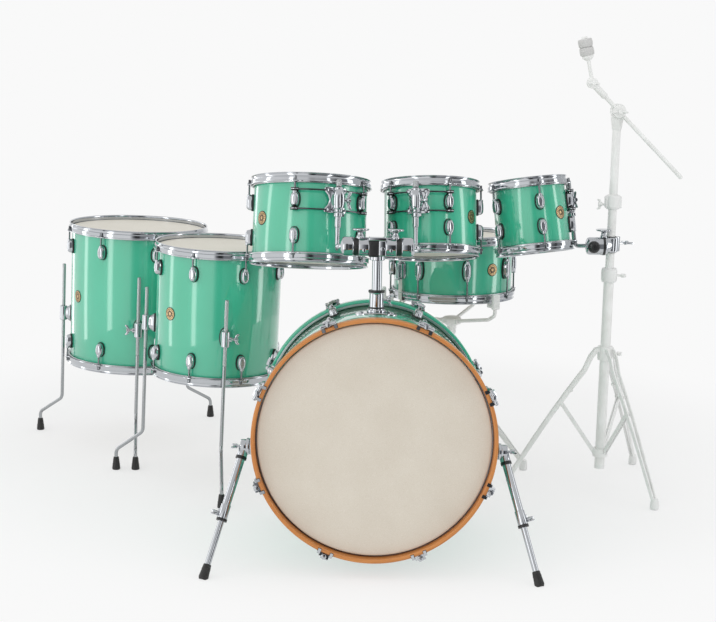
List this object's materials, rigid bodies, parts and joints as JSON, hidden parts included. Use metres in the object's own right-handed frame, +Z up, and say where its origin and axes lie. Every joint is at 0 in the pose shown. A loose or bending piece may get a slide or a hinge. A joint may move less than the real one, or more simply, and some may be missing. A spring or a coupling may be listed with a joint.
{
  "type": "drum kit",
  "caption": "Acoustic drum kit: bass drum with spurs and tom holder, rack toms, floor toms on legs, snare drum on a basket stand and a boom stand.",
  "frame": {"origin": "centre of the kit's footprint, on the floor", "axes": "+X from the floor toms to the boom stand, +Y from the audience to the drummer, +Z up"},
  "size_m": [1.928, 1.5551, 1.2862],
  "materials": {
    "bass_batter_head": "coated",
    "bass_batter_hoop": "gloss lacquer",
    "bass_front_head": "coated",
    "bass_front_hoop": "clear lacquer",
    "bass_shell": "gloss lacquer",
    "boom_arm": "satin",
    "boom_stand_base": "satin",
    "boom_stand_tube": "satin",
    "floor14_batter_head": "coated",
    "floor14_batter_hoop": "polished",
    "floor14_bottom_head": "coated",
    "floor14_bottom_hoop": "polished",
    "floor14_leg_front": "polished",
    "floor14_leg_left": "polished",
    "floor14_leg_rear": "polished",
    "floor14_shell": "gloss lacquer",
    "floor16_batter_head": "coated",
    "floor16_batter_hoop": "polished",
    "floor16_bottom_head": "coated",
    "floor16_bottom_hoop": "polished",
    "floor16_leg_front": "polished",
    "floor16_leg_left": "polished",
    "floor16_leg_rear": "polished",
    "floor16_shell": "gloss lacquer",
    "snare_batter_head": "coated",
    "snare_batter_hoop": "polished",
    "snare_bottom_head": "coated",
    "snare_bottom_hoop": "polished",
    "snare_shell": "gloss lacquer",
    "snare_stand_base": "satin",
    "snare_stand_basket": "satin",
    "snare_throw_lever": "polished",
    "snare_wires": "satin",
    "spur_left_leg": "polished",
    "spur_left_tube": "polished",
    "spur_right_leg": "polished",
    "spur_right_tube": "polished",
    "tom10_arm": "polished",
    "tom10_batter_head": "coated",
    "tom10_batter_hoop": "polished",
    "tom10_bottom_head": "coated",
    "tom10_bottom_hoop": "polished",
    "tom10_bracket": "polished",
    "tom10_shell": "gloss lacquer",
    "tom12_arm": "polished",
    "tom12_batter_head": "coated",
    "tom12_batter_hoop": "polished",
    "tom12_bottom_head": "coated",
    "tom12_bottom_hoop": "polished",
    "tom12_bracket": "polished",
    "tom12_shell": "gloss lacquer",
    "tom8_arm": "polished",
    "tom8_batter_head": "coated",
    "tom8_batter_hoop": "polished",
    "tom8_bottom_head": "coated",
    "tom8_bottom_hoop": "polished",
    "tom8_bracket": "polished",
    "tom8_clamp": "polished",
    "tom8_shell": "gloss lacquer",
    "tom_post": "polished"
  },
  "bodies": {
    "bass_drum": {"bass_shell": "bass_shell", "bass_front_head": "bass_front_head", "bass_front_hoop": "bass_front_hoop", "bass_batter_head": "bass_batter_head", "bass_batter_hoop": "bass_batter_hoop"},
    "spur_left": {"spur_left_tube": "spur_left_tube"},
    "spur_left_leg": {"spur_left_leg": "spur_left_leg"},
    "spur_right": {"spur_right_tube": "spur_right_tube"},
    "spur_right_leg": {"spur_right_leg": "spur_right_leg"},
    "tom_holder": {"tom_post": "tom_post"},
    "tom12": {"tom12_shell": "tom12_shell", "tom12_batter_head": "tom12_batter_head", "tom12_batter_hoop": "tom12_batter_hoop", "tom12_bottom_head": "tom12_bottom_head", "tom12_bottom_hoop": "tom12_bottom_hoop", "tom12_bracket": "tom12_bracket"},
    "tom12_arm": {"tom12_arm": "tom12_arm"},
    "tom10": {"tom10_shell": "tom10_shell", "tom10_batter_head": "tom10_batter_head", "tom10_batter_hoop": "tom10_batter_hoop", "tom10_bottom_head": "tom10_bottom_head", "tom10_bottom_hoop": "tom10_bottom_hoop", "tom10_bracket": "tom10_bracket"},
    "tom10_arm": {"tom10_arm": "tom10_arm"},
    "boom_stand": {"boom_stand_base": "boom_stand_base"},
    "boom_tube": {"boom_stand_tube": "boom_stand_tube"},
    "boom": {"boom_arm": "boom_arm"},
    "tom8_clamp": {"tom8_clamp": "tom8_clamp"},
    "tom8": {"tom8_shell": "tom8_shell", "tom8_batter_head": "tom8_batter_head", "tom8_batter_hoop": "tom8_batter_hoop", "tom8_bottom_head": "tom8_bottom_head", "tom8_bottom_hoop": "tom8_bottom_hoop", "tom8_bracket": "tom8_bracket"},
    "tom8_arm": {"tom8_arm": "tom8_arm"},
    "floor14": {"floor14_shell": "floor14_shell", "floor14_batter_head": "floor14_batter_head", "floor14_batter_hoop": "floor14_batter_hoop", "floor14_bottom_head": "floor14_bottom_head", "floor14_bottom_hoop": "floor14_bottom_hoop"},
    "floor14_leg_left": {"floor14_leg_left": "floor14_leg_left"},
    "floor14_leg_front": {"floor14_leg_front": "floor14_leg_front"},
    "floor14_leg_rear": {"floor14_leg_rear": "floor14_leg_rear"},
    "floor16": {"floor16_shell": "floor16_shell", "floor16_batter_head": "floor16_batter_head", "floor16_batter_hoop": "floor16_batter_hoop", "floor16_bottom_head": "floor16_bottom_head", "floor16_bottom_hoop": "floor16_bottom_hoop"},
    "floor16_leg_left": {"floor16_leg_left": "floor16_leg_left"},
    "floor16_leg_front": {"floor16_leg_front": "floor16_leg_front"},
    "floor16_leg_rear": {"floor16_leg_rear": "floor16_leg_rear"},
    "snare_stand": {"snare_stand_base": "snare_stand_base"},
    "snare_basket": {"snare_stand_basket": "snare_stand_basket"},
    "snare": {"snare_shell": "snare_shell", "snare_batter_head": "snare_batter_head", "snare_batter_hoop": "snare_batter_hoop", "snare_bottom_head": "snare_bottom_head", "snare_bottom_hoop": "snare_bottom_hoop", "snare_wires": "snare_wires"},
    "snare_throw": {"snare_throw_lever": "snare_throw_lever"}
  },
  "joints": [
    {"name": "spur_left_swing", "type": "hinge", "parent": "bass_drum", "child": "spur_left", "pos_m": [-0.1953, -0.61446, 0.288], "axis": [1, 0, 0], "range_deg": [0, 100]},
    {"name": "spur_left_slide", "type": "slide", "parent": "spur_left", "child": "spur_left_leg", "axis": [-0.257, -0.4456, -0.8576], "range_m": [-0.07, 0.03]},
    {"name": "spur_right_swing", "type": "hinge", "parent": "bass_drum", "child": "spur_right", "pos_m": [0.4121, -0.61446, 0.288], "axis": [1, 0, 0], "range_deg": [0, 100]},
    {"name": "spur_right_slide", "type": "slide", "parent": "spur_right", "child": "spur_right_leg", "axis": [0.257, -0.4456, -0.8576], "range_m": [-0.07, 0.03]},
    {"name": "tom_post_height", "type": "slide", "parent": "bass_drum", "child": "tom_holder", "axis": [0, 0.0802, 0.9968], "range_m": [-0.03, 0.05]},
    {"name": "tom12_tilt", "type": "hinge", "parent": "tom_holder", "child": "tom12_arm", "pos_m": [0.0284, -0.41609, 0.75845], "axis": [1, 0, 0], "range_deg": [-8, 8]},
    {"name": "tom12_swivel", "type": "hinge", "parent": "tom12_arm", "child": "tom12", "pos_m": [0.00581, -0.29221, 0.86058], "axis": [0.0117, 0.2148, 0.9766], "range_deg": [-5, 5]},
    {"name": "tom10_tilt", "type": "hinge", "parent": "tom_holder", "child": "tom10_arm", "pos_m": [0.1884, -0.41609, 0.75845], "axis": [1, 0, 0], "range_deg": [-8, 8]},
    {"name": "tom10_swivel", "type": "hinge", "parent": "tom10_arm", "child": "tom10", "pos_m": [0.20918, -0.18697, 0.85165], "axis": [-0.0175, 0.2398, 0.9707], "range_deg": [-5, 5]},
    {"name": "boom_stand_lift", "type": "slide", "parent": "bass_drum", "child": "boom_stand", "axis": [0, 0, 1], "range_m": [0, 0.1]},
    {"name": "boom_stand_height", "type": "slide", "parent": "boom_stand", "child": "boom_tube", "axis": [0, 0, 1], "range_m": [-0.04, 0.15]},
    {"name": "boom_tilt", "type": "hinge", "parent": "boom_tube", "child": "boom", "pos_m": [0.7754, 0.0539, 1.084], "axis": [0, 1, 0], "range_deg": [-25, 25]},
    {"name": "tom8_clamp_turn", "type": "hinge", "parent": "boom_tube", "child": "tom8_clamp", "pos_m": [0.7754, 0.0799, 0.708], "axis": [0, 0, 1], "range_deg": [-6, 6]},
    {"name": "tom8_tilt", "type": "hinge", "parent": "tom8_clamp", "child": "tom8_arm", "pos_m": [0.7254, 0.0389, 0.708], "axis": [1, 0, 0], "range_deg": [-8, 8]},
    {"name": "tom8_swivel", "type": "hinge", "parent": "tom8_arm", "child": "tom8", "pos_m": [0.65391, 0.07807, 0.82956], "axis": [-0.1288, 0.1757, 0.976], "range_deg": [-5, 5]},
    {"name": "floor14_lift", "type": "slide", "parent": "bass_drum", "child": "floor14", "axis": [0, 0, 1], "range_m": [0, 0.1]},
    {"name": "floor14_leg_left", "type": "slide", "parent": "floor14", "child": "floor14_leg_left", "axis": [0.033, 0.006, 0.9994], "range_m": [-0.05, 0.05]},
    {"name": "floor14_leg_front", "type": "slide", "parent": "floor14", "child": "floor14_leg_front", "axis": [0.033, 0.006, 0.9994], "range_m": [-0.05, 0.05]},
    {"name": "floor14_leg_rear", "type": "slide", "parent": "floor14", "child": "floor14_leg_rear", "axis": [0.033, 0.006, 0.9994], "range_m": [-0.05, 0.05]},
    {"name": "floor16_lift", "type": "slide", "parent": "bass_drum", "child": "floor16", "axis": [0, 0, 1], "range_m": [0, 0.1]},
    {"name": "floor16_leg_left", "type": "slide", "parent": "floor16", "child": "floor16_leg_left", "axis": [0.028, 0.012, 0.9995], "range_m": [-0.05, 0.05]},
    {"name": "floor16_leg_front", "type": "slide", "parent": "floor16", "child": "floor16_leg_front", "axis": [0.028, 0.012, 0.9995], "range_m": [-0.05, 0.05]},
    {"name": "floor16_leg_rear", "type": "slide", "parent": "floor16", "child": "floor16_leg_rear", "axis": [0.028, 0.012, 0.9995], "range_m": [-0.05, 0.05]},
    {"name": "snare_stand_lift", "type": "slide", "parent": "bass_drum", "child": "snare_stand", "axis": [0, 0, 1], "range_m": [0, 0.1]},
    {"name": "basket_height", "type": "slide", "parent": "snare_stand", "child": "snare_basket", "axis": [0, 0, 1], "range_m": [-0.05, 0.08]},
    {"name": "snare_lift", "type": "slide", "parent": "snare_basket", "child": "snare", "axis": [-0.013, 0.035, 0.9993], "range_m": [0, 0.1]},
    {"name": "snare_throw", "type": "hinge", "parent": "snare", "child": "snare_throw", "pos_m": [0.17656, 0.23997, 0.56852], "axis": [0.5297, -0.8474, 0.0365], "range_deg": [0, 75]}
  ]
}
